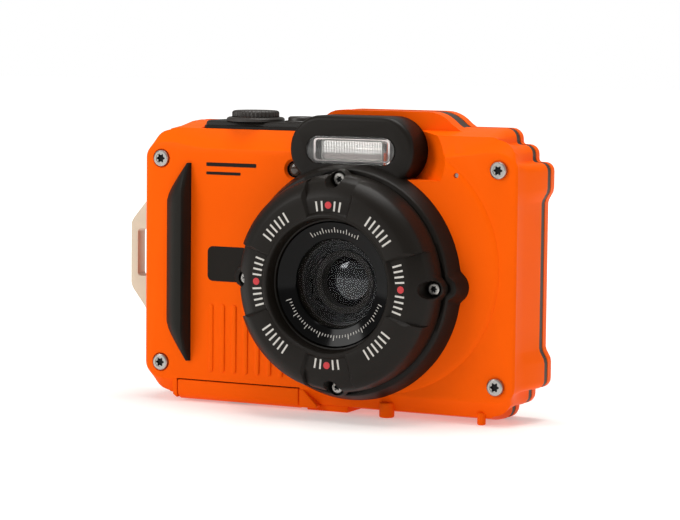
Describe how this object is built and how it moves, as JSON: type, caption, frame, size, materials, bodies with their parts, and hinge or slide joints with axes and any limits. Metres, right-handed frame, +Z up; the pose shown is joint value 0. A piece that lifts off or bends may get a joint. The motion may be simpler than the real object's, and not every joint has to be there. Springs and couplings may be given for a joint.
{
  "type": "rugged compact camera",
  "caption": "Orange waterproof compact camera with a black screwed lens ring, flash hump, side grip, strap bracket and rear display.",
  "frame": {"origin": "centre of the tripod socket mouth, on the plane the camera stands on", "axes": "+X along the camera width, to the right when the lens faces the viewer; +Y from the lens to the display; +Z up"},
  "size_m": [0.1076, 0.033, 0.0716],
  "materials": {
    "orange_shell": "satin, finely textured",
    "brown_seal": "matt",
    "black_shell": "fine spark-eroded texture",
    "gloss_black": "polished",
    "grip_rubber": "matt",
    "screw_steel": "machined",
    "clear_glass": "polished",
    "flash_plastic": "ribbed",
    "mirror_chrome": "mirror",
    "champagne_metal": "anodised, satin",
    "socket_metal": "machined",
    "circuit_board": "solder mask",
    "gold_contact": "plated",
    "cell_wrap": "printed sleeve",
    "knurled_black": "knurled",
    "record_red": "polished",
    "lamp_lens": "tinted",
    "display_glass": "polished, printed black behind"
  },
  "bodies": {
    "camera": {"front_cover": "orange_shell", "case_gasket": "brown_seal", "rear_cover": "orange_shell", "case_screws": "screw_steel", "lens_housing": "black_shell", "bezel_ring": "black_shell", "bezel_screws": "screw_steel", "window_retainer": "gloss_black", "lens_window": "clear_glass", "window_seal": "brown_seal", "flash_window": "flash_plastic", "flash_reflector": "mirror_chrome", "flash_tube": "clear_glass", "flash_board": "circuit_board", "flash_capacitor": "cell_wrap", "assist_lamp": "lamp_lens", "grip_pad": "grip_rubber", "top_plate": "black_shell", "shutter_collar": "black_shell", "switch_board": "circuit_board", "strap_bracket": "champagne_metal", "tripod_socket": "socket_metal", "battery_bay": "black_shell", "battery": "cell_wrap", "battery_contacts": "gold_contact", "hinge_pin": "screw_steel", "main_board": "circuit_board", "card_slot": "screw_steel", "memory_card": "cell_wrap", "usb_port": "screw_steel", "objective_lens": "clear_glass", "prism": "clear_glass", "lens_barrel": "black_shell", "guide_rods": "screw_steel", "zoom_motor": "mirror_chrome", "image_sensor": "circuit_board", "lcd_panel": "cell_wrap", "display_window": "display_glass", "key_mat": "brown_seal", "rocker_pin": "screw_steel", "microphone": "screw_steel", "speaker": "cell_wrap"},
    "shutter": {"shutter_button": "knurled_black"},
    "power": {"power_button": "gloss_black"},
    "door": {"battery_door": "orange_shell", "door_seal": "brown_seal"},
    "latch": {"door_latch": "black_shell"},
    "zoom_carriage": {"zoom_group": "socket_metal"},
    "focus_carriage": {"focus_group": "socket_metal"},
    "screw": {"lead_screw": "screw_steel"},
    "rocker": {"zoom_rocker": "gloss_black"},
    "record": {"record_key": "record_red"},
    "play": {"play_key": "gloss_black"},
    "up": {"up_key": "gloss_black"},
    "down": {"down_key": "gloss_black"},
    "left": {"left_key": "gloss_black"},
    "right": {"right_key": "gloss_black"},
    "ok": {"ok_key": "gloss_black"},
    "menu": {"menu_key": "gloss_black"},
    "delete": {"delete_key": "gloss_black"}
  },
  "joints": [
    {"name": "shutter_press", "type": "slide", "parent": "camera", "child": "shutter", "axis": [0, 0, -1], "range_m": [0, 0.0008], "stiffness_N_per_m": 2500},
    {"name": "power_press", "type": "slide", "parent": "camera", "child": "power", "axis": [0, 0, -1], "range_m": [0, 0.0006], "stiffness_N_per_m": 3000},
    {"name": "door_hinge", "type": "hinge", "parent": "camera", "child": "door", "pos_m": [0, 0.0026, 0.0016], "axis": [1, 0, 0], "range_deg": [0, 90]},
    {"name": "latch_slide", "type": "slide", "parent": "door", "child": "latch", "axis": [1, 0, 0], "range_m": [0, 0.0038]},
    {"name": "screw_turn", "type": "hinge", "parent": "camera", "child": "screw", "pos_m": [0.012, -0.0019, 0.0422], "axis": [1, 0, 0], "range_deg": [0, 1440]},
    {"name": "zoom_slide", "type": "slide", "parent": "camera", "child": "zoom_carriage", "axis": [1, 0, 0], "range_m": [0, 0.009]},
    {"name": "focus_slide", "type": "slide", "parent": "camera", "child": "focus_carriage", "axis": [1, 0, 0], "range_m": [0, 0.004]},
    {"name": "rocker_tilt", "type": "hinge", "parent": "camera", "child": "rocker", "pos_m": [-0.03, 0.0077, 0.056], "axis": [0, 0, 1], "range_deg": [-3, 3], "stiffness_Nm_per_rad": 0.05},
    {"name": "record_press", "type": "slide", "parent": "camera", "child": "record", "axis": [0, -1, 0], "range_m": [0, 0.0004], "stiffness_N_per_m": 3500},
    {"name": "play_press", "type": "slide", "parent": "camera", "child": "play", "axis": [0, -1, 0], "range_m": [0, 0.0004], "stiffness_N_per_m": 3500},
    {"name": "up_press", "type": "slide", "parent": "camera", "child": "up", "axis": [0, -1, 0], "range_m": [0, 0.0004], "stiffness_N_per_m": 3500},
    {"name": "down_press", "type": "slide", "parent": "camera", "child": "down", "axis": [0, -1, 0], "range_m": [0, 0.0004], "stiffness_N_per_m": 3500},
    {"name": "left_press", "type": "slide", "parent": "camera", "child": "left", "axis": [0, -1, 0], "range_m": [0, 0.0004], "stiffness_N_per_m": 3500},
    {"name": "right_press", "type": "slide", "parent": "camera", "child": "right", "axis": [0, -1, 0], "range_m": [0, 0.0004], "stiffness_N_per_m": 3500},
    {"name": "ok_press", "type": "slide", "parent": "camera", "child": "ok", "axis": [0, -1, 0], "range_m": [0, 0.0004], "stiffness_N_per_m": 3500},
    {"name": "menu_press", "type": "slide", "parent": "camera", "child": "menu", "axis": [0, -1, 0], "range_m": [0, 0.0004], "stiffness_N_per_m": 3500},
    {"name": "delete_press", "type": "slide", "parent": "camera", "child": "delete", "axis": [0, -1, 0], "range_m": [0, 0.0004], "stiffness_N_per_m": 3500}
  ],
  "couplings": [
    {"joint": "screw_turn", "follows": "zoom_slide", "rad_per_m": 2792.5}
  ]
}
